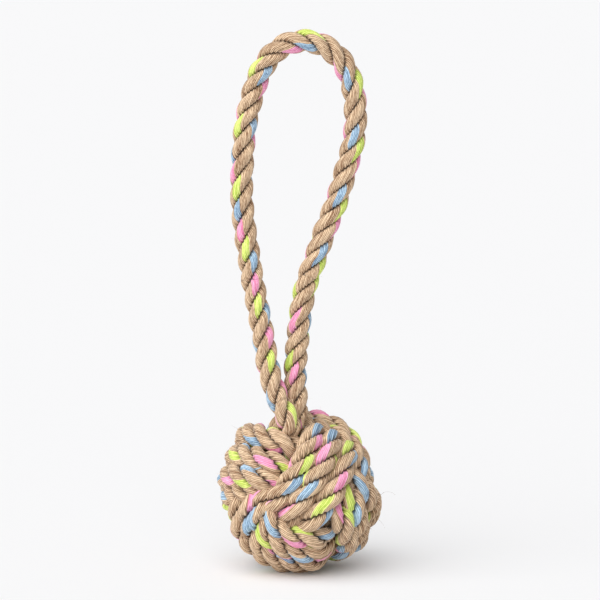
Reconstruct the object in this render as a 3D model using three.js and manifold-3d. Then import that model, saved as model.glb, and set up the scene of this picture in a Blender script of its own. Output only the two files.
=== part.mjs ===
// A rope dog toy: twisted rope tied round a filling as a ball knot, with a tall hand loop above it.
// Millimetres, +Z up, front towards -Y. The origin is where the toy stands, under the middle of its box.
import * as THREE from "three";
import Module from "manifold-3d";
import { mergeVertices } from "three/addons/utils/BufferGeometryUtils.js";

const wasm = await Module();
wasm.setup();
const { clamp, degToRad, lerp, smoothstep } = THREE.MathUtils;

// Driving dimensions of the rope
const ropeDiameter = 10; // as it hangs free in the handle
const woundDiameter = 8.6; // pulled tight in the knot
const rootDiameter = 3.4; // squeezed where it enters the knot
const rootTaper = 9.5; // length over which a root swells to the full rope
const seatClearance = 0.3; // between pieces that touch

// Driving dimensions of the knot
const turnsPerBand = 3;
const turnGap = 1.0; // between the turns of one band
const layerGap = 1.2; // between a band and the band that crosses over it
const cornerRoom = 2.7; // between the edge of a covered band and the band that turns past it
const standDepth = ropeDiameter / 10; // how far the turns that the toy stands on are pressed flat
const knotTurn = new THREE.Euler(...[78.2, 10.8, -28.2].map(degToRad)); // how the knot lies
const mouthCorner = [-1, 1, 1]; // the corner between the knot's bands that the handle comes out of

// Angles round a band, in degrees from where it runs under the next band
const riseFrom = 24; // leaves the filling
const riseTo = 54; // lies on the outside of the ball
const stepAngle = 65; // half of the stretch in which the rope moves over to its next turn
const tuckAngle = 48; // where the band's two ends are tucked under

// Heights at which the handle's stretches meet, above the knot's mouth
const neckHeight = 9.6;
const legHeight = 30.6;
const bendHeight = 61.6;
const bowHeight = 91.6;

// Steps and sides of the round pieces
const stepsPerTurn = 36;
const woundSides = 12;
const ropeSides = 12;
const ropeStep = 6;
const fewestSteps = 4;
const coreSegments = 20;

// Sizes that follow from these
const turnPitch = woundDiameter + turnGap;
const bandHalfWidth = ((turnsPerBand - 1) * turnPitch + woundDiameter) / 2;
const innerReach = bandHalfWidth + cornerRoom + woundDiameter / 2;
const outerReach = innerReach + woundDiameter + layerGap;
const ballRadius = outerReach + woundDiameter / 2;
const coreRadius = innerReach - woundDiameter / 2 - seatClearance;
const ballCentre = new THREE.Vector3(0, 0, ballRadius);
const mouth = new THREE.Vector3(...mouthCorner).setLength(ballRadius).applyEuler(knotTurn).add(ballCentre);

// The handle's middle line, from the knot's mouth: up the left leg, over the top and down the right leg.
const handleRoute = [
  [1.1, 3.8, -8.0],
  [0.4, 1.6, -3.3],
  [-1.3, 0.5, 1.4],
  [-4.3, 1.2, 7.6],
  [-6.9, 2.6, 13.6],
  [-9.1, 5.2, 24.6],
  [-10.9, 7.4, 36.6],
  [-13.1, 9.1, 48.1],
  [-15.3, 10.4, 59.6],
  [-17.9, 11.8, 76.1],
  [-19.9, 12.9, 91.1],
  [-20.3, 13.6, 103.6],
  [-19.6, 14.1, 117.6],
  [-18.1, 14.5, 130.6],
  [-15.1, 14.8, 142.6],
  [-11.1, 14.8, 152.6],
  [-5.2, 14.8, 160.1],
  [2.3, 14.8, 163.5],
  [9.8, 14.8, 163.5],
  [16.5, 14.8, 160.8],
  [22.3, 14.8, 155.2],
  [26.3, 14.8, 146.6],
  [28.0, 14.8, 137.1],
  [28.1, 14.8, 128.6],
  [27.1, 14.8, 120.1],
  [24.7, 14.8, 110.6],
  [20.3, 14.8, 95.1],
  [16.1, 14.8, 83.1],
  [11.9, 14.6, 70.6],
  [8.1, 14.2, 59.6],
  [5.5, 13.5, 48.6],
  [3.7, 12.6, 35.6],
  [2.9, 11.2, 23.6],
  [3.7, 8.2, 13.1],
  [5.1, 5.4, 4.2],
  [6.5, 4.4, -1.7],
].map((point) => new THREE.Vector3(...point));

const ropeTan = new THREE.MeshStandardMaterial({ color: 0xc6a27c, roughness: 0.9, metalness: 0 });
const coreGrey = new THREE.MeshStandardMaterial({ color: 0x8a8278, roughness: 0.95, metalness: 0 });

// A closed tube along a curve. radiusAt gives its radius at a distance along the curve.
function tubeGeometry(curve, radiusAt, steps, sides) {
  const frames = curve.computeFrenetFrames(steps);
  const length = curve.getLength();
  const corners = [];
  const faces = [];
  for (let ring = 0; ring <= steps; ring++) {
    const middle = curve.getPointAt(ring / steps);
    const radius = radiusAt((length * ring) / steps);
    for (let side = 0; side < sides; side++) {
      const angle = (2 * Math.PI * side) / sides;
      const corner = middle
        .clone()
        .addScaledVector(frames.normals[ring], radius * Math.cos(angle))
        .addScaledVector(frames.binormals[ring], radius * Math.sin(angle));
      corners.push(corner.x, corner.y, corner.z);
    }
  }
  const at = (ring, side) => ring * sides + (side % sides);
  for (let ring = 0; ring < steps; ring++) {
    for (let side = 0; side < sides; side++) {
      faces.push(at(ring, side), at(ring, side + 1), at(ring + 1, side));
      faces.push(at(ring, side + 1), at(ring + 1, side + 1), at(ring + 1, side));
    }
  }
  for (let side = 1; side < sides - 1; side++) {
    faces.push(at(0, 0), at(0, side + 1), at(0, side));
    faces.push(at(steps, 0), at(steps, side), at(steps, side + 1));
  }
  const geometry = new THREE.BufferGeometry();
  geometry.setAttribute("position", new THREE.Float32BufferAttribute(corners, 3));
  geometry.setIndex(faces);
  return geometry;
}

function namedMesh(name, geometry, material) {
  const mesh = new THREE.Mesh(geometry, material);
  mesh.name = name;
  return mesh;
}

// One band of the knot, wound about X: outside on the +Z and -Z sides, under the next band on the others.
// The rope steps from turn to turn on the covered -Y side, so the turns that show lie side by side.
class BandCurve extends THREE.Curve {
  arcLengthDivisions = turnsPerBand * 360;

  getPoint(share, target = new THREE.Vector3()) {
    const turned = lerp(tuckAngle, 360 * turnsPerBand - tuckAngle, share);
    const crossing = Math.round(turned / 360);
    const step = smoothstep(turned - 360 * crossing, -stepAngle, stepAngle);
    const edge = (turnsPerBand - 1) / 2;
    const across = turnPitch * clamp(crossing - 1 + step - edge, -edge, edge);
    const fromCovered = Math.min(turned % 180, 180 - (turned % 180));
    const reach = lerp(innerReach, outerReach, smoothstep(fromCovered, riseFrom, riseTo));
    const radius = Math.sqrt(reach ** 2 - across ** 2);
    const angle = Math.PI + degToRad(turned);
    return target.set(across, radius * Math.cos(angle), radius * Math.sin(angle));
  }
}

// The least gap between stretches of a wound tube that lie over two diameters apart along it.
function leastGapToItself(curve) {
  const pointsPerTurn = 180;
  const points = curve.getSpacedPoints(turnsPerBand * pointsPerTurn);
  const apart = Math.ceil((2 * woundDiameter * points.length) / curve.getLength());
  let least = Infinity;
  points.forEach((point, i) => {
    points.slice(i + apart).forEach((other) => {
      least = Math.min(least, point.distanceTo(other));
    });
  });
  return least - woundDiameter;
}

function solidFrom(geometry) {
  const bare = new THREE.BufferGeometry();
  bare.setAttribute("position", geometry.getAttribute("position").clone());
  bare.setIndex(geometry.getIndex());
  const merged = mergeVertices(bare);
  const vertProperties = Float32Array.from(merged.getAttribute("position").array);
  const triVerts = Uint32Array.from(merged.getIndex().array);
  return new wasm.Manifold(new wasm.Mesh({ numProp: 3, vertProperties, triVerts }));
}

function geometryFrom(solid) {
  const made = solid.getMesh();
  const geometry = new THREE.BufferGeometry();
  geometry.setAttribute("position", new THREE.BufferAttribute(made.vertProperties, 3));
  geometry.setIndex(new THREE.BufferAttribute(made.triVerts, 1));
  return geometry;
}

// Cuts a mesh flat where it reaches below a height of the whole toy.
function pressFlat(mesh, height) {
  mesh.updateWorldMatrix(true, false);
  const slab = new THREE.BoxGeometry(4 * ballRadius, 4 * ballRadius, ballRadius);
  slab.translate(0, 0, height - ballRadius / 2);
  slab.applyMatrix4(mesh.matrixWorld.clone().invert());
  mesh.geometry = geometryFrom(solidFrom(mesh.geometry).subtract(solidFrom(slab)));
}

// The ball knot: three bands alike, each turned a third of the way round the ball's diagonal from the last.
function ballKnot() {
  const knot = new THREE.Group();
  knot.position.copy(ballCentre);
  knot.rotation.copy(knotTurn);
  const filling = new THREE.SphereGeometry(coreRadius, coreSegments, coreSegments / 2);
  knot.add(namedMesh("core_ball", filling, coreGrey));
  const diagonal = new THREE.Vector3(1, 1, 1).normalize();
  const curve = new BandCurve();
  const steps = Math.round(stepsPerTurn * (turnsPerBand - tuckAngle / 180));
  ["front_winding", "side_winding", "cross_winding"].forEach((name, index) => {
    const geometry = tubeGeometry(curve, () => woundDiameter / 2, steps, woundSides);
    const winding = namedMesh(name, geometry, ropeTan);
    winding.quaternion.setFromAxisAngle(diagonal, (2 * Math.PI * index) / 3);
    knot.add(winding);
    pressFlat(winding, standDepth);
    console.log(`${name}: least gap to itself ${leastGapToItself(curve).toFixed(2)} mm`);
  });
  return knot;
}

// Part of a longer curve, between two shares of its length.
class Stretch extends THREE.Curve {
  constructor(whole, from, to) {
    super();
    this.whole = whole;
    this.from = from;
    this.to = to;
  }

  getPoint(share, target) {
    return this.whole.getPointAt(lerp(this.from, this.to, share), target);
  }
}

// The share of the handle's length at which a leg crosses a height, between its foot and the loop's top.
function shareAtHeight(route, height, foot, top) {
  const halvings = 40;
  for (let halving = 0; halving < halvings; halving++) {
    const middle = (foot + top) / 2;
    if (route.getPointAt(middle).z < height) foot = middle;
    else top = middle;
  }
  return (foot + top) / 2;
}

// The handle, in stretches that meet end to end: each leg's root, neck, leg and bend, and the bow.
function handLoop() {
  const handle = new THREE.Group();
  handle.position.copy(mouth);
  const route = new THREE.CatmullRomCurve3(handleRoute);
  route.arcLengthDivisions = 100 * handleRoute.length;
  const length = route.getLength();
  const halfGap = seatClearance / 2 / length;
  const topShare = 0.5;

  const addStretch = (name, from, to, radiusAt) => {
    const curve = new Stretch(route, from, to);
    const steps = Math.max(fewestSteps, Math.round(curve.getLength() / ropeStep));
    handle.add(namedMesh(name, tubeGeometry(curve, radiusAt, steps, ropeSides), ropeTan));
  };
  const full = () => ropeDiameter / 2;
  const swelling = (distance) => lerp(rootDiameter, ropeDiameter, clamp(distance / rootTaper, 0, 1)) / 2;

  const bowEnds = ["left", "right"].map((side, index) => {
    const foot = index;
    const inwards = 1 - 2 * index;
    const cuts = [neckHeight, legHeight, bendHeight, bowHeight];
    const stations = cuts.map((height) => shareAtHeight(route, height, foot, topShare));
    const rootEnd = stations[0] - inwards * halfGap;
    const rootLength = Math.abs(rootEnd - foot) * length;
    const rootRadius = index ? (distance) => swelling(rootLength - distance) : swelling;
    addStretch(`${side}_root`, Math.min(foot, rootEnd), Math.max(foot, rootEnd), rootRadius);
    ["neck", "leg", "bend"].forEach((part, place) => {
      const ends = [stations[place] + inwards * halfGap, stations[place + 1] - inwards * halfGap];
      addStretch(`${side}_${part}`, Math.min(...ends), Math.max(...ends), full);
    });
    return stations[3] + inwards * halfGap;
  });
  addStretch("bow", ...bowEnds, full);
  console.log(`handle: ${length.toFixed(0)} mm of rope`);
  return handle;
}

const toy = new THREE.Group();
toy.add(ballKnot(), handLoop());
toy.updateMatrixWorld(true);
const middle = new THREE.Box3().setFromObject(toy, true).getCenter(new THREE.Vector3());
toy.position.set(-middle.x, -middle.y, -standDepth);

export default toy;
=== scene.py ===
import math

import bmesh
import bpy
import numpy as np
from mathutils import Euler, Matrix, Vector, noise


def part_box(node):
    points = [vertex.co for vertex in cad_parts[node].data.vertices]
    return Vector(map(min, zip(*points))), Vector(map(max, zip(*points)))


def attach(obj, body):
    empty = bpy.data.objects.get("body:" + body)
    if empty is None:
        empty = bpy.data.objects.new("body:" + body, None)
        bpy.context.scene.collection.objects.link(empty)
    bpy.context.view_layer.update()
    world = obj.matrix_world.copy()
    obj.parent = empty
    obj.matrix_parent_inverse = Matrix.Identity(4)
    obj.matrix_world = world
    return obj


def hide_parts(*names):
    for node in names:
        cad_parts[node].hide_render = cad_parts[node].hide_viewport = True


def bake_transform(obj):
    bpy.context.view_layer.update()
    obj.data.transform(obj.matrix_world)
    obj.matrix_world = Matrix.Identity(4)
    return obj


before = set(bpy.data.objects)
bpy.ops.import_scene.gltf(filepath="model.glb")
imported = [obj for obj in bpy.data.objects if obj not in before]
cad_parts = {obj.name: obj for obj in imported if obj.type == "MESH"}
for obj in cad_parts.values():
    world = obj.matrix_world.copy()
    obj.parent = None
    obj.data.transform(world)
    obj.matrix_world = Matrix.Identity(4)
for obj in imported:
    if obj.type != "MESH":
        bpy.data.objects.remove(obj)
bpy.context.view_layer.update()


# The filling is a wad of cotton waste, rolled by hand into a ball for the knot to be tied round.
# It is held by the turns over it, and only its shadowed surface shows in the corners between them.
mm = 0.001
filling_detail = 5
filling_lump = 1.4 * mm
filling_lump_size = 6.0 * mm
lump_smoothness, lump_ratio, lump_layers = 1.0, 2.0, 3
filling_light = (92, 72, 54)
filling_dark = (48, 36, 27)
filling_roughness = 0.9
tufts_per_metre = 420.0
tuft_layers = 4.0
tuft_roughness = 0.1
tuft_bump = 0.6
tuft_height = 0.3 * mm


class Socket:
    """A socket of a material's nodes. Arithmetic on it adds Math nodes."""

    def __init__(self, tree, output=None):
        self.tree = tree
        self.output = output

    def node(self, kind, settings=None, inputs=None, output=0):
        made = self.tree.nodes.new(kind)
        for name, value in (settings or {}).items():
            setattr(made, name, value)
        for name, value in (inputs or {}).items():
            if isinstance(value, Socket):
                self.tree.links.new(value.output, made.inputs[name])
            else:
                made.inputs[name].default_value = value
        return Socket(self.tree, made.outputs[output]) if made.outputs else None

    def other(self, output):
        return Socket(self.tree, self.output.node.outputs[output])

    def maths(self, operation, *values):
        return self.node("ShaderNodeMath", {"operation": operation}, dict(enumerate(values)))

    def __add__(self, value):
        return self.maths("ADD", self, value)

    def __sub__(self, value):
        return self.maths("SUBTRACT", self, value)

    def __rsub__(self, value):
        return self.maths("SUBTRACT", value, self)

    def __mul__(self, value):
        return self.maths("MULTIPLY", self, value)

    __radd__ = __add__
    __rmul__ = __mul__


def new_material(name):
    material = bpy.data.materials.new(name)
    material.use_nodes = True
    material.node_tree.nodes.clear()
    return material, Socket(material.node_tree)


def dye(red, green, blue):
    """A colour written as it looks on a screen, 0 to 255, as the shader takes it."""
    return tuple(((level / 255 + 0.055) / 1.055) ** 2.4 for level in (red, green, blue)) + (1.0,)


def dye_between(nodes, share, dark, light):
    settings = {"data_type": "RGBA", "clamp_factor": True}
    return nodes.node("ShaderNodeMix", settings, {0: share, 6: dark, 7: light}, output=2)


wad, nodes = new_material("cotton_waste")
place = nodes.node("ShaderNodeTexCoord", output="Object")
tufts = nodes.node("ShaderNodeTexNoise", {}, {
    "Vector": place, "Scale": tufts_per_metre, "Detail": tuft_layers,
})
shader = nodes.node("ShaderNodeBsdfPrincipled", {}, {
    "Base Color": dye_between(nodes, tufts, dye(*filling_dark), dye(*filling_light)),
    "Roughness": filling_roughness + tuft_roughness * tufts,
    "Normal": nodes.node("ShaderNodeBump", {}, {
        "Strength": tuft_bump, "Distance": tuft_height, "Height": tufts,
    }),
})
nodes.node("ShaderNodeOutputMaterial", {}, {"Surface": shader})

core_low, core_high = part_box("core_ball")
ball_centre = (core_low + core_high) / 2
core_radius = (core_high.z - core_low.z) / 2

shape = bmesh.new()
bmesh.ops.create_icosphere(shape, subdivisions=filling_detail, radius=core_radius)
for vertex in shape.verts:
    lump = noise.fractal(vertex.co / filling_lump_size, lump_smoothness, lump_ratio, lump_layers)
    vertex.co += vertex.co.normalized() * filling_lump * (lump - 1)
    vertex.co += ball_centre
for face in shape.faces:
    face.smooth = True
mesh = bpy.data.meshes.new("filling")
shape.to_mesh(mesh)
shape.free()
mesh.materials.append(wad)
filling = bpy.data.objects.new("filling", mesh)
bpy.context.collection.objects.link(filling)
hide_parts("core_ball")
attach(filling, "knot_ball")


# The rope is soft cotton, three strands laid to the right. Each strand is twisted the other way from undyed
# yarns and a group of dyed ones, so the yarns on the outside run nearly straight along the rope. The dyed
# group comes to the surface now and then as a mark, and loose ends of fibres stand out all over as fuzz.
strands = 3
yarns_per_strand = 20
spots_per_yarn = 4
dyed_yarns = 5.5
dyed_middle = -0.5
lay_length = 26.8 * mm
yarn_turn_length = 12.95 * mm
yarn_crowding = 0.3
yarn_groove = 0.17 * mm
yarn_unevenness = 0.03
# The next four are shares of the rope's radius.
strand_reach = 0.46
strand_girth = 0.54
strand_seam = 0.07
rope_heart = 0.04
strand_spread = 1.08
# Painted shade in the grooves between strands: full below the first share of the strands' greatest height,
# gone above the second. Its dark brown colour is next.
painted_shade_heights = (0.5, 0.74)
painted_groove_shade = (58, 36, 22)
fibre_stretch = (1.6, 0.55, 1.0)
fibre_bump = 0.5
fibre_height = 0.12 * mm
tone_step = 7.3
tone_drift = 0.06
# Painted shade along the seams between yarns: how sharply it gathers at each yarn's edges, and in the next
# line its share of the tone.
seam_shade_sharpness = 2.5
fibre_share, tone_share, seam_shade_share, dark_share = 1.6, 1.3, 0.85, 0.68
cotton_roughness, fibre_roughness = 0.82, 0.14
fuzz_every = 2.4 * mm
fuzz_length = (0.9 * mm, 2.4 * mm)
fuzz_radius = 0.034 * mm
fuzz_root = 6 * fuzz_radius
fuzz_points = 5
fuzz_tries = 4
fuzz_outside = 0.85
fuzz_rise, fuzz_stray, fuzz_curl = 0.7, 0.75, 1.7
fibre_sides = 3
fibre_tip = 0.3
undyed, lime, blue, pink = range(4)


def cotton(name, light, dark):
    """Cotton yarn: fibres along each yarn, a tone of its own for each yarn, painted shade in seams and
    grooves.
    """
    material, nodes = new_material(name)
    place = nodes.node("ShaderNodeUVMap", {"uv_map": "yarns"})
    across = nodes.node("ShaderNodeSeparateXYZ", {}, {0: place})
    along = across.other(1)
    fibre_place = nodes.node("ShaderNodeMapping", {}, {"Vector": place, "Scale": fibre_stretch})
    fibres = nodes.node("ShaderNodeTexNoise", {"noise_dimensions": "2D"}, {
        "Vector": fibre_place, "Scale": 1.0, "Detail": 4.0, "Roughness": 0.65,
    })
    yarn_place = nodes.node("ShaderNodeCombineXYZ", {}, {
        0: nodes.maths("FLOOR", across) * tone_step, 1: along * tone_drift,
    })
    tones = nodes.node("ShaderNodeTexNoise", {"noise_dimensions": "2D"}, {
        "Vector": yarn_place, "Scale": 1.0, "Detail": 1.0,
    })
    # Painted shade along the seams between yarns: the colour darkens towards each yarn's edges.
    from_middle = nodes.maths("ABSOLUTE", nodes.maths("FRACT", across) - 0.5) * 2.0
    painted_seam_shade = nodes.maths("POWER", from_middle, seam_shade_sharpness)
    share = fibres * fibre_share + tones * tone_share - painted_seam_shade * seam_shade_share - dark_share
    yarn = dye_between(nodes, share, dye(*dark), dye(*light))
    # Painted shade in the grooves between strands: the colour goes to dark brown where the height share is
    # low.
    painted_shade_place = nodes.node("ShaderNodeUVMap", {"uv_map": "height"})
    height = nodes.node("ShaderNodeSeparateXYZ", {}, {0: painted_shade_place})
    shader = nodes.node("ShaderNodeBsdfPrincipled", {}, {
        "Base Color": dye_between(nodes, height, dye(*painted_groove_shade), yarn),
        "Roughness": cotton_roughness + fibre_roughness * fibres,
        "Specular IOR Level": 0.25,
        "Sheen Weight": 0.2,
        "Sheen Roughness": 0.5,
        "Normal": nodes.node("ShaderNodeBump", {}, {
            "Strength": fibre_bump, "Distance": fibre_height, "Height": fibres,
        }),
    })
    nodes.node("ShaderNodeOutputMaterial", {}, {"Surface": shader})
    return material


rope_dyes = {
    undyed: cotton("undyed_cotton", (240, 211, 176), (118, 76, 44)),
    lime: cotton("lime_cotton", (240, 250, 150), (166, 194, 56)),
    blue: cotton("blue_cotton", (196, 224, 244), (82, 114, 148)),
    pink: cotton("pink_cotton", (252, 190, 220), (222, 108, 152)),
}


def unit(vectors):
    return vectors / np.linalg.norm(vectors, axis=-1, keepdims=True)


def smoothstep(value, start, end):
    share = np.clip((value - start) / (end - start), 0, 1)
    return share * share * (3 - 2 * share)


def lengths_along(path):
    return np.concatenate([[0.0], np.cumsum(np.linalg.norm(np.diff(path, axis=0), axis=1))])


def whole_turns(distance, marks, turn_length):
    """Turns along the rope, whole at each mark, with as many between marks as the length of a turn gives."""
    counts = np.concatenate([[0], np.cumsum(np.round(np.diff(marks) / turn_length))])
    spare_turns = 100
    spare = spare_turns * turn_length
    marks = np.concatenate([[marks[0] - spare], marks, [marks[-1] + spare]])
    return np.interp(distance, marks, np.concatenate([[-spare_turns], counts, [counts[-1] + spare_turns]]))


def lay_strands(path, facing, radius, lay, shows, seed):
    """Rings of the three strands, one at each point of the path: [point, strand, spot on the strand, xyz].

    lay is the rope's turn at each point, from facing, and shows the turn of each strand's dyed yarns.
    """
    chance = np.random.default_rng(seed)
    along = unit(np.gradient(path, axis=0))
    front = unit(facing - along * np.sum(facing * along, axis=1, keepdims=True))
    across = np.cross(along, front)
    turn = 2 * np.pi * (lay[:, None] + np.arange(strands) / strands)
    turn = turn[:, :, None]
    outward = np.cos(turn) * front[:, None] + np.sin(turn) * across[:, None]
    sideways = np.cos(turn) * across[:, None] - np.sin(turn) * front[:, None]

    spots = np.arange(yarns_per_strand * spots_per_yarn)
    angle = 2 * np.pi * (spots / len(spots) - shows[:, :, None])
    angle = angle - yarn_crowding * np.sin(angle)
    unevenness = yarn_unevenness * chance.standard_normal((strands, yarns_per_strand))
    radius = radius[:, None, None]
    girth = strand_girth * radius * (1 + np.repeat(unevenness, spots_per_yarn, axis=1))
    girth = girth - np.where(spots % spots_per_yarn == 0, yarn_groove, 0.0)
    reach = np.maximum(strand_reach * radius + girth * np.cos(angle), rope_heart * radius)
    # Three strands meet at 60 degrees to either side of each strand's middle.
    room = math.sqrt(3) * reach - strand_seam * radius
    lean = np.clip(strand_spread * girth * np.sin(angle), -room, room)
    out = reach[..., None] * outward[:, :, None]
    return path[:, None, None] + out + lean[..., None] * sideways[:, :, None]


def fine_tubes(lines, sides, radius):
    """Closed tubes along lines of points, thinner to the tips: corners and faces."""
    count, points, _ = lines.shape
    along = unit(lines[:, 1:] - lines[:, :-1])[:, [0, *range(points - 1)]]
    side = unit(np.cross(along, sides[:, None]))
    other = np.cross(along, side)
    thick = radius * np.linspace(1, fibre_tip, points)[None, :, None]
    turns = 2 * np.pi * np.arange(fibre_sides) / fibre_sides
    edges = [lines + thick * (math.cos(turn) * side + math.sin(turn) * other) for turn in turns]
    corners = np.stack(edges, axis=2)
    number = np.arange(count * points * fibre_sides).reshape(count, points, fibre_sides)
    beside = np.roll(number, -1, axis=2)
    walls = np.stack([number[:, :-1], beside[:, :-1], beside[:, 1:], number[:, 1:]], axis=-1)
    ends = np.concatenate([number[:, 0, ::-1], number[:, -1]])
    return corners.reshape(-1, 3), walls.reshape(-1, 4).tolist() + ends.tolist()


def fuzz(rings, dye_of_face, distance, chance):
    """Loose ends of fibres that stand out from the yarns on the outside of the rope, above the floor."""
    points, _, spots, _ = rings.shape
    middle = rings.mean(axis=(1, 2))
    height = np.linalg.norm(rings - middle[:, None, None], axis=3)
    wanted = round((distance[-1] - distance[0]) / fuzz_every)
    ring = chance.integers(0, points - 1, fuzz_tries * wanted)
    strand = chance.integers(0, strands, fuzz_tries * wanted)
    spot = chance.integers(0, spots, fuzz_tries * wanted)
    outside = height[ring, strand, spot] > fuzz_outside * height.max(axis=(1, 2))[ring]
    ring, strand, spot = (which[outside][:wanted] for which in (ring, strand, spot))

    root = rings[ring, strand, spot]
    outward = unit(root - middle[ring])
    stray = unit(chance.standard_normal(root.shape))
    length = chance.uniform(*fuzz_length, len(root))[:, None, None]
    share = np.linspace(0, 1, fuzz_points)[None, :, None]
    rise = fuzz_rise * share * outward[:, None] + fuzz_stray * share ** fuzz_curl * stray[:, None]
    lines = (root - outward * fuzz_root)[:, None] + length * rise
    lines[..., 2] = np.maximum(lines[..., 2], fuzz_radius)
    corners, faces = fine_tubes(lines, stray, fuzz_radius)

    walls = fibre_sides * (fuzz_points - 1)
    dyes = dye_of_face[ring, strand, spot]
    face_dyes = np.concatenate([np.repeat(dyes, walls), dyes, dyes])
    yarn = strand * yarns_per_strand + spot // spots_per_yarn + 0.5
    place = np.stack([yarn, distance[ring] / mm, np.ones(len(ring))], axis=1)
    end_places = np.repeat(place, fibre_sides, axis=0)
    places = np.concatenate([np.repeat(place, 4 * walls, axis=0), end_places, end_places])
    return corners, faces, face_dyes, places


def cotton_mesh(name, vertices, faces, dyes, places):
    """A mesh of cotton: its corners, its faces, each face's dye, and the place on the yarns and painted shade
    of its corners.
    """
    mesh = bpy.data.meshes.new(name)
    mesh.from_pydata(np.concatenate(vertices), [], faces)
    for material in rope_dyes.values():
        mesh.materials.append(material)
    mesh.polygons.foreach_set("material_index", np.concatenate(dyes).astype(np.int32))
    mesh.polygons.foreach_set("use_smooth", np.ones(len(faces), dtype=bool))
    places = np.concatenate(places).astype(np.float32)
    mesh.uv_layers.new(name="yarns").data.foreach_set("uv", places[:, :2].ravel())
    # The third column of the places, the share of painted groove shade, goes in the height layer.
    mesh.uv_layers.new(name="height").data.foreach_set("uv", places[:, [2, 2]].ravel())
    mesh.update()
    piece = bpy.data.objects.new(name, mesh)
    bpy.context.collection.objects.link(piece)
    return piece


def dyed_faces(points, spots, strand_dyes):
    """The dye of each face between the rings: that of its strand on the dyed yarns, none on the others."""
    half = yarns_per_strand / 2
    yarn = (np.arange(spots) / spots_per_yarn + half) % yarns_per_strand - half
    dyed = np.abs(yarn - dyed_middle) < dyed_yarns / 2
    return np.where(dyed, np.broadcast_to(strand_dyes, (points, strands))[:-1, :, None], undyed)


def yarn_places(rings, distance):
    """For the corners of each face between the rings: the yarn, how far along it in mm, and the height that
    sets painted shade.
    """
    points, _, spots, _ = rings.shape
    shape = (points - 1, strands, spots)
    left = np.arange(strands)[:, None] * yarns_per_strand + np.arange(spots)[None] / spots_per_yarn
    left, right = np.broadcast_to(left, shape), np.broadcast_to(left + 1 / spots_per_yarn, shape)
    near, far = (np.broadcast_to(end[:, None, None] / mm, shape) for end in (distance[:-1], distance[1:]))
    # Each spot's height above the rope's middle becomes the share of painted shade in the grooves between
    # strands: 0 gives all of it, 1 none.
    height = np.linalg.norm(rings - rings.mean(axis=(1, 2), keepdims=True), axis=3)
    height = smoothstep(height / height.max(axis=(1, 2), keepdims=True), *painted_shade_heights)
    next_painted_shade = np.roll(height, -1, axis=2)
    corners = [
        (left, near, height[:-1]), (right, near, next_painted_shade[:-1]),
        (right, far, next_painted_shade[1:]), (left, far, height[1:]),
    ]
    return np.stack([np.stack(corner, axis=-1) for corner in corners], axis=-2).reshape(-1, 3)


def cotton_piece(name, runs):
    """One piece of rope from runs of rings, with their distances along the rope, strands' dyes and a seed."""
    vertices, faces, dyes, places = [], [], [], []
    first = 0
    for rings, distance, strand_dyes, seed in runs:
        points, _, spots, _ = rings.shape
        number = first + np.arange(points * strands * spots).reshape(points, strands, spots)
        beside = np.roll(number, -1, axis=2)
        walls = np.stack([number[:-1], beside[:-1], beside[1:], number[1:]], axis=-1)
        dye_of_face = dyed_faces(points, spots, strand_dyes)
        vertices.append(rings.reshape(-1, 3))
        faces.extend(walls.reshape(-1, 4).tolist())
        dyes.append(dye_of_face.reshape(-1))
        places.append(yarn_places(rings, distance))
        for strand in range(strands):
            for end in (number[0, strand, ::-1], number[-1, strand]):
                faces.append(end.tolist())
                dyes.append(np.array([undyed]))
                # The ends of the strands get the full painted groove shade.
                places.append(np.zeros((spots, 3)))
        first += number.size

        chance = np.random.default_rng(seed)
        corners, tubes, tube_dyes, tube_places = fuzz(rings, dye_of_face, distance, chance)
        vertices.append(corners)
        faces.extend([[first + corner for corner in face] for face in tubes])
        dyes.append(tube_dyes)
        places.append(tube_places)
        first += len(corners)
    return cotton_mesh(name, vertices, faces, dyes, places)


# The knot is tied with the rope in three bands at right angles, each passing over the next. Pulled tight,
# each turn rides up over the band it crosses and dips under the band that crosses it. The front winding is
# the first band: three turns that show on the front and the back of the ball.
wound_radius = 5.45 * mm
wound_step = 1.7 * mm
inner_reach = 20.9 * mm
outer_reach = 30.4 * mm
usual_rise = (24.0, 54.0)
winding_step = 0.25
knot_angles = [math.radians(angle) for angle in (71.7, 10.8, -28.2)]
knot_turn = np.array(Euler(knot_angles, "ZYX").to_matrix())


def smooth_curve(points, steps=24):
    """A curve through the points that doesn't swing out between them."""
    points = np.concatenate([[2 * points[0] - points[1]], points, [2 * points[-1] - points[-2]]])
    pieces = []
    for before, start, end, after in zip(points, points[1:], points[2:], points[3:]):
        gaps = [math.sqrt(np.linalg.norm(b - a)) for a, b in ((before, start), (start, end), (end, after))]
        leave = ((start - before) / gaps[0] - (end - before) / (gaps[0] + gaps[1])) * gaps[1] + end - start
        arrive = ((after - end) / gaps[2] - (after - start) / (gaps[1] + gaps[2])) * gaps[1] + end - start
        share = np.linspace(0, 1, steps, endpoint=False)[:, None]
        bend = (2 * start - 2 * end + leave + arrive) * share ** 3
        pieces.append(bend + (3 * end - 3 * start - 2 * leave - arrive) * share ** 2 + leave * share + start)
    return np.concatenate(pieces + [points[-2:-1]])


def even_steps(curve, step):
    """Points at equal steps along a curve, with their distances, and the distance of each of its points."""
    distance = lengths_along(curve)
    even = np.linspace(0, distance[-1], round(distance[-1] / step) + 1)
    return np.stack([np.interp(even, distance, column) for column in curve.T], axis=1), even, distance


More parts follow.
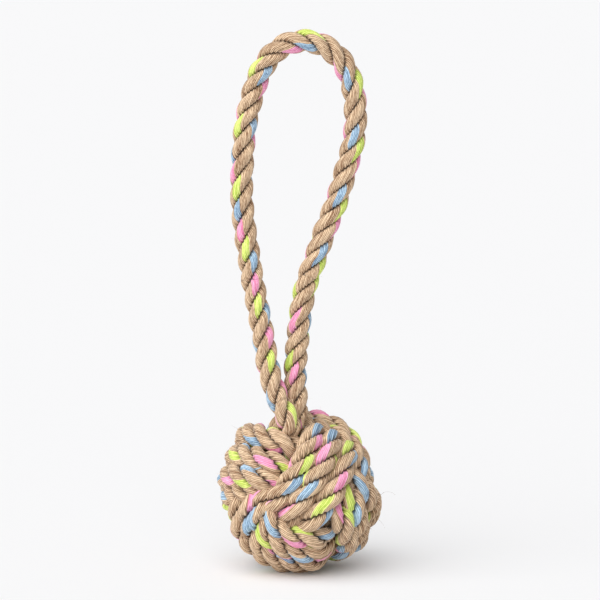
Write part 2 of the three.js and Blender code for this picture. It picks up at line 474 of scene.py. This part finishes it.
def wind(stations, axes, rises):
    """A winding round the ball's first axis, turned on to the band's own axes.

    stations give, by the degrees wound so far, the place across the band on the ball's outside and how far
    the rope stands proud there, in mm. rises give, by quarter turn, how far from the covered side the rope
    starts to come up and has come up.
    """
    stations = smooth_curve(np.array([(*station, 0.0)[:3] for station in stations], dtype=float))
    turned = np.arange(stations[0, 0], stations[-1, 0], winding_step)
    lean = np.arcsin(np.interp(turned, stations[:, 0], stations[:, 1]) * mm / outer_reach)
    proud = np.interp(turned, stations[:, 0], stations[:, 2]) * mm
    quarter = np.floor(turned / 90).astype(int)
    from_covered = np.where(quarter % 2 == 0, turned % 90, 90 - turned % 90)
    rise = np.array([rises.get(number, usual_rise) for number in range(4)])[quarter % 4]
    risen = smoothstep(from_covered, rise[:, 0], rise[:, 1])
    reach = inner_reach + (outer_reach - inner_reach) * risen + proud
    angle = np.pi + np.radians(turned)
    outward = np.stack([np.sin(lean), np.cos(lean) * np.cos(angle), np.cos(lean) * np.sin(angle)], axis=1)
    return reach[:, None] * outward[:, axes] @ knot_turn.T, turned


def wound_run(stations, axes, rises, strand_dyes, crowns, shows, seed, changes=()):
    """A run of wound rope.

    The first strand faces out at the crowns, and each strand's dye at its shows, in degrees wound. changes
    give the places where the yarns' dyes change and the new ones.
    """
    curve, turned = wind(stations, axes, rises)
    outward, distance, curve_distance = even_steps(curve, wound_step)

    def wound_to(degrees):
        return np.interp(degrees, turned, curve_distance)

    lay = whole_turns(distance, wound_to(crowns), lay_length)
    shows = np.stack([whole_turns(distance, wound_to(marks), yarn_turn_length) for marks in shows], axis=1)
    radius = np.full(len(outward), wound_radius)
    rings = lay_strands(outward + np.array(ball_centre), unit(outward), radius, lay, shows, seed)
    rings[..., 2] = np.maximum(rings[..., 2], 0)
    dyes = np.broadcast_to(strand_dyes, (len(distance), strands))
    for place, new_dyes in changes:
        dyes = np.where((distance > wound_to(place))[:, None], new_dyes, dyes)
    return rings, distance, dyes, seed


front_axes = [0, 1, 2]
front_turns = [
    (20, -9.6), (90, -9.6), (135, -9.6), (222, -8.6), (245, -8.0), (270, -7.6), (290, -9.2), (312, -9.9),
    (405, 0.0), (495, 0.0), (585, -0.6), (618, 0.2), (636, -0.5), (672, -1.2),
    (765, 9.6), (855, 8.6), (945, 7.4), (958, 8.2), (981, 9.4), (1001, 8.9), (1024, 7.3), (1060, 6.5),
]
front_rises = {0: (6, 36), 1: (8, 38), 2: (22, 48), 3: (34, 66)}
front_dyes = (blue, lime, pink)
front_crowns = [227, 286, 582, 639, 958, 1019]
front_shows = [
    [225, 281, 584, 639.5, 953, 1011],
    [262, 632, 944, 1004],
    [240, 285, 605, 664, 980],
]
front_winding = cotton_piece("front_winding_rope", [
    wound_run(front_turns, front_axes, front_rises, front_dyes, front_crowns, front_shows, seed=11),
])
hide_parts("front_winding")
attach(front_winding, "knot_ball")


# The side winding is the second band: three more turns of the same rope, which show on the left and the right
# of the ball. The two tucks are deeper turns that close the corners it would leave open there.
side_axes = [2, 0, 1]
side_turns = [
    (20, -9.6), (45, -9.4), (120, -9.0), (152, -7.6), (204, -2.6), (214, -4.7), (226, -7.5), (240, -9.4),
    (256, -10.4, -0.4), (268, -11.8, -0.2), (280, -12.6), (300, -12), (320, -11),
    (405, -0.5), (470, -0.4), (505, 0.0), (530, 3.0), (564, 7.5), (577, 3.5), (583, 1.9), (595, -1.6),
    (616, -4.1), (627, -5.8, 0.8), (645, -6, 1.4), (665, -4.5, 1.6), (680, -3, 0.8),
    (765, 8.5, 0.6), (800, 9.2, 1.8), (825, 9.6, 1.5), (850, 10.2), (868, 12.0), (927, 13.5), (936, 11.6),
    (949, 10.0), (964, 9.6), (980, 7.8, 0.5), (990, 5.5, 0.5), (1010, 4.0), (1050, 5),
]
side_rises = {1: (18, 44), 2: (17, 42)}
side_dyes = (lime, pink, blue)
side_changes = [(258, (lime, blue, pink)), (330, (lime, pink, blue))]
side_crowns = [54, 115, 227, 458, 510, 573, 803, 855, 925]
side_shows = [
    [54, 123, 222, 262, 296, 462, 512, 575.5, 606, 642, 871, 915],
    [102, 211, 240, 275, 456, 497, 612, 640, 676, 854, 943, 975],
    [126.5, 258, 278, 313, 491, 590, 831, 944, 1004],
]
tuck_dyes = (blue, lime, pink)
left_tuck = [
    (22, -17, -3), (50, -17, -1.6), (77, -16.8, -1.6), (100, -16.4, -2.2), (125, -15, -3), (150, -13, -3),
]
left_tuck_crowns = [82, 132]
left_tuck_shows = [[80], [99], [112]]
right_tuck = [
    (225, 23, -4), (245, 21, -3.5), (263, 20, -3), (284, 17.5, -2.5), (306, 17.5, -2.5), (335, 16, -3),
]
right_tuck_crowns = [262, 312]
right_tuck_shows = [[262], [290], [306]]
side_winding = cotton_piece("side_winding_rope", [
    wound_run(side_turns, side_axes, side_rises, side_dyes, side_crowns, side_shows, seed=12,
              changes=side_changes),
    wound_run(left_tuck, side_axes, {}, tuck_dyes, left_tuck_crowns, left_tuck_shows, seed=15),
    wound_run(right_tuck, side_axes, {}, tuck_dyes, right_tuck_crowns, right_tuck_shows, seed=16),
])
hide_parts("side_winding")
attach(side_winding, "knot_ball")


# The cross winding is the third band: three turns, which show at the bottom of the ball and at the top behind
# the handle. The front tuck is one more pass of the rope, drawn in low on the front.
cross_axes = [1, 2, 0]
cross_turns = [
    (25, 10.5), (44, 8), (53, 6), (71, 0.3), (95, -3), (135, -4), (225, -6), (270, -8), (315, -9),
    (403, 16.5), (419, 12.5), (441, 7.2), (465, 5.6), (495, 5), (560, 8.6, -1), (585, 10, -2.4),
    (603, 9, -1.5), (621, 7.5), (641, 6.5), (670, 1),
    (761, 23), (770, 20.8), (781, 17.9), (796, 15.3), (808, 15), (825, 14.2), (850, 14), (945, 20.8),
    (965, 18.2), (982, 16.7, -0.6), (1001, 16.3, -1.6), (1016, 11, -1.6), (1050, 7),
]
cross_dyes = (lime, blue, pink)
cross_changes = [(560, (pink, blue, lime)), (700, (lime, blue, pink)), (900, (blue, lime, pink))]
cross_crowns = [90, 438, 795, 850, 945]
cross_shows = [
    [52, 450, 603, 644, 797, 836, 945, 984],
    [85, 421, 460, 612, 834, 991],
    [44, 405, 443, 613, 824, 974, 1026],
]
front_tuck = [(38, 23), (69, 21.2), (86, 20.6), (105, 21), (122, 21), (136, 19.6), (165, 16)]
front_tuck_rises = {0: (44, 70), 1: (26, 54)}
front_tuck_crowns = [75, 139]
front_tuck_shows = [[77, 136], [108], [103]]
cross_winding = cotton_piece("cross_winding_rope", [
    wound_run(cross_turns, cross_axes, {}, cross_dyes, cross_crowns, cross_shows, seed=13,
              changes=cross_changes),
    wound_run(front_tuck, cross_axes, front_tuck_rises, tuck_dyes, front_tuck_crowns, front_tuck_shows,
              seed=14),
])
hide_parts("cross_winding")
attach(cross_winding, "knot_ball")


# Three stray fibres have been pulled out of the yarns by handling. They are fine ends of undyed cotton, still
# held in the turns at one end, at the upper left and the right of the ball.
stray_radius = 0.05 * mm
stray_points = 24
stray_fibres = [
    [(-23.4, 0, 24.6), (-25.4, 0, 25.9), (-27.4, 0, 27.8), (-29.2, 0, 28.6)],
    [(33.0, 0, -2.4), (34.9, 0, -1.6), (36.8, 0, -0.4), (39.3, 0, -0.6), (41.2, 0, -1.6)],
    [(32.0, 0, -11.4), (33.9, 0, -12.6), (35.6, 0, -14.2), (36.7, 0, -16.4)],
]
stray_lines = []
for fibre in stray_fibres:
    bend = smooth_curve(np.array(fibre) * mm)
    points, _, _ = even_steps(bend, lengths_along(bend)[-1] / (stray_points - 1))
    stray_lines.append(points + np.array(ball_centre))
stray_sides = np.tile([0.0, 1.0, 0.0], (len(stray_lines), 1))
corners, faces = fine_tubes(np.stack(stray_lines), stray_sides, stray_radius)
stray_dyes = np.full(len(faces), undyed)
stray_places = np.ones((sum(len(face) for face in faces), 3))
strays = cotton_mesh("stray_fibres", [corners], faces, [stray_dyes], [stray_places])
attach(strays, "knot_ball")


# The handle is the rest of the rope, doubled into a tall loop. Both its ends are squeezed into one corner of
# the knot, the left one in front of the right, and the rope's own stiffness holds the loop up.
mouth = np.array([-4.28, -15.36, 65.16]) * mm
handle_route = np.array([
    [1.1, 3.8, -8.0], [0.4, 1.6, -3.3], [-0.1, 0.5, 1.4], [-2.8, 1.2, 7.6], [-5.6, 2.6, 13.6],
    [-8.9, 5.2, 24.6], [-10.9, 7.4, 36.6], [-13.1, 9.1, 48.1], [-15.3, 10.4, 59.6], [-17.9, 11.8, 76.1],
    [-19.9, 12.9, 91.1], [-20.3, 13.6, 103.6], [-19.6, 14.1, 117.6], [-18.1, 14.5, 130.6],
    [-15.1, 14.8, 142.6], [-11.1, 14.8, 152.6], [-5.2, 14.8, 160.1], [2.3, 14.8, 163.5],
    [9.8, 14.8, 163.5], [16.5, 14.8, 160.8], [22.3, 14.8, 155.2], [26.3, 14.8, 146.6],
    [28.0, 14.8, 137.1], [28.1, 14.8, 128.6], [27.1, 14.8, 120.1], [24.7, 14.8, 110.6],
    [20.1, 14.8, 95.1], [15.6, 14.8, 83.1], [11.1, 14.6, 70.6], [7.4, 14.2, 59.6], [5.0, 13.5, 48.6],
    [3.6, 12.6, 35.6], [2.5, 11.0, 23.6], [2.8, 7.8, 13.1], [3.7, 5.2, 4.2], [5.0, 4.4, -1.7],
]) * mm + mouth
rope_radius = 5.0 * mm
rope_step = 1.25 * mm
root_radius = 1.9 * mm
root_taper = 9.5 * mm
neck_height = 74.8 * mm
bend_height = 126.8 * mm
left_dyes, right_dyes = (lime, blue, pink), (blue, pink, lime)
dye_changes = np.array([317, 306.4, 300.9]) * mm
handle_crowns = np.array([36, 88, 144, 196, 249, 304, 329.7, 353.5]) * mm
handle_shows = [
    [13.8, 38, 87.5, 140.5, 191, 246, 272.5, 299.5, 310, 337.4, 347.6],
    [10, 22.5, 58.5, 104.5, 151, 189.5, 240.5, 267, 293, 324.5, 346],
    [25, 48, 95.5, 145.5, 182, 238.5, 294.5, 307.4, 320.3, 340.3],
]

handle_path, handle_distance, _ = even_steps(smooth_curve(handle_route), rope_step)
from_end = np.minimum(handle_distance, handle_distance[-1] - handle_distance)
handle_radius = root_radius + (rope_radius - root_radius) * smoothstep(from_end, 0, root_taper)
handle_facing = np.broadcast_to([0.0, -1.0, 0.0], handle_path.shape)
handle_dyes = np.where(handle_distance[:, None] < dye_changes, left_dyes, right_dyes)
handle_lay = whole_turns(handle_distance, handle_crowns, lay_length)
shows = [whole_turns(handle_distance, np.array(marks) * mm, yarn_turn_length) for marks in handle_shows]
shows = np.stack(shows, axis=1)
handle_rings = lay_strands(handle_path, handle_facing, handle_radius, handle_lay, shows, seed=21)
above_neck = np.flatnonzero(handle_path[:, 2] > neck_height)
above_bend = np.flatnonzero(handle_path[:, 2] > bend_height)


def handle_piece(name, first, last, seed):
    stretch = slice(first, last + 1)
    return cotton_piece(name, [(handle_rings[stretch], handle_distance[stretch], handle_dyes[stretch], seed)])


left_root = handle_piece("left_root_rope", 0, above_neck[0], seed=22)
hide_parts("left_root")
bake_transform(left_root)
right_root = handle_piece("right_root_rope", above_neck[-1], len(handle_path) - 1, seed=23)
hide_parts("right_root")
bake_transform(right_root)

left_leg = handle_piece("left_leg_rope", above_neck[0], above_bend[0], seed=24)
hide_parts("left_neck", "left_leg")
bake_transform(left_leg)
right_leg = handle_piece("right_leg_rope", above_bend[-1], above_neck[-1], seed=25)
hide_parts("right_neck", "right_leg")
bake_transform(right_leg)

bow = handle_piece("bow_rope", above_bend[0], above_bend[-1], seed=26)
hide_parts("left_bend", "right_bend", "bow")
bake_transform(bow)


# The studio: a white floor that runs out of the picture and looks brighter away from the toy, one broad soft
# lamp from the upper left in front and an even white surround. The camera looks from the front and a little
# above, through a long lens.
floor_size = 12.0
floor_white = (246, 246, 247)
floor_glow = 0.5
glow_falloff = 1.5
under_toy = 45 * mm
lamp_strength = 3.15
lamp_spread = math.radians(80.0)
lamp_direction = Vector((0.55, 0.75, -0.95))
surround_strength = 0.32
background_white = 0.955
picture_pixels = 600
pixel_size = 0.4294 * mm
ball_pixel = (299.5, 491.0)
camera_height_angle = math.radians(10.0)
camera_distance = 3.0
camera_sight = 48.0
camera_sensor = 36.0


def seen_directly(nodes):
    """1 to the camera, also in a gloss or through something clear, and 0 where it only lights the toy."""
    ray = nodes.node("ShaderNodeLightPath", output="Is Camera Ray")
    reflected = nodes.maths("MAXIMUM", ray.other("Is Glossy Ray"), ray.other("Is Transmission Ray"))
    return nodes.maths("MAXIMUM", ray, reflected)


mesh = bpy.data.meshes.new("floor")
edge = floor_size / 2
mesh.from_pydata([(-edge, -edge, 0), (edge, -edge, 0), (edge, edge, 0), (-edge, edge, 0)], [], [(0, 1, 2, 3)])
paper, nodes = new_material("white_paper")
matt = nodes.node("ShaderNodeBsdfPrincipled", {}, {"Base Color": dye(*floor_white), "Roughness": 0.9})
glow = nodes.node("ShaderNodeEmission", {}, {"Color": dye(*floor_white), "Strength": 1.0})
clear = nodes.node("ShaderNodeAmbientOcclusion", {}, {"Distance": under_toy}, output="AO")
glow_share = seen_directly(nodes) * floor_glow * nodes.maths("POWER", clear, glow_falloff)
shader = nodes.node("ShaderNodeMixShader", {}, {0: glow_share, 1: matt, 2: glow})
nodes.node("ShaderNodeOutputMaterial", {}, {"Surface": shader})
mesh.materials.append(paper)
floor = bpy.data.objects.new("floor", mesh)
bpy.context.collection.objects.link(floor)

lamp = bpy.data.lights.new("soft_lamp", "SUN")
lamp.energy = lamp_strength
lamp.angle = lamp_spread
lamp_object = bpy.data.objects.new("soft_lamp", lamp)
lamp_object.rotation_euler = lamp_direction.to_track_quat("-Z", "Y").to_euler()
bpy.context.collection.objects.link(lamp_object)

surround = bpy.data.worlds.new("surround")
surround.use_nodes = True
surround.node_tree.nodes.clear()
nodes = Socket(surround.node_tree)
strength = surround_strength + seen_directly(nodes) * (background_white - surround_strength)
light = nodes.node("ShaderNodeBackground", {}, {"Color": (1, 1, 1, 1), "Strength": strength})
nodes.node("ShaderNodeOutputWorld", {}, {"Surface": light})
bpy.context.scene.world = surround
bpy.context.scene.view_settings.view_transform = "Standard"

picture_up = Vector((0, math.sin(camera_height_angle), math.cos(camera_height_angle)))
towards_camera = Vector((0, -math.cos(camera_height_angle), math.sin(camera_height_angle)))
picture_middle = (ball_centre + Vector((1, 0, 0)) * (picture_pixels / 2 - ball_pixel[0]) * pixel_size
                  + picture_up * (ball_pixel[1] - picture_pixels / 2) * pixel_size)
camera = bpy.data.cameras.new("camera")
camera.sensor_width = camera_sensor
camera.lens = camera_sensor * camera_distance / (picture_pixels * pixel_size)
camera.clip_end = camera_sight
camera_object = bpy.data.objects.new("camera", camera)
camera_object.location = picture_middle + towards_camera * camera_distance
camera_object.rotation_euler = (-towards_camera).to_track_quat("-Z", "Y").to_euler()
bpy.context.collection.objects.link(camera_object)
bpy.context.scene.camera = camera_object
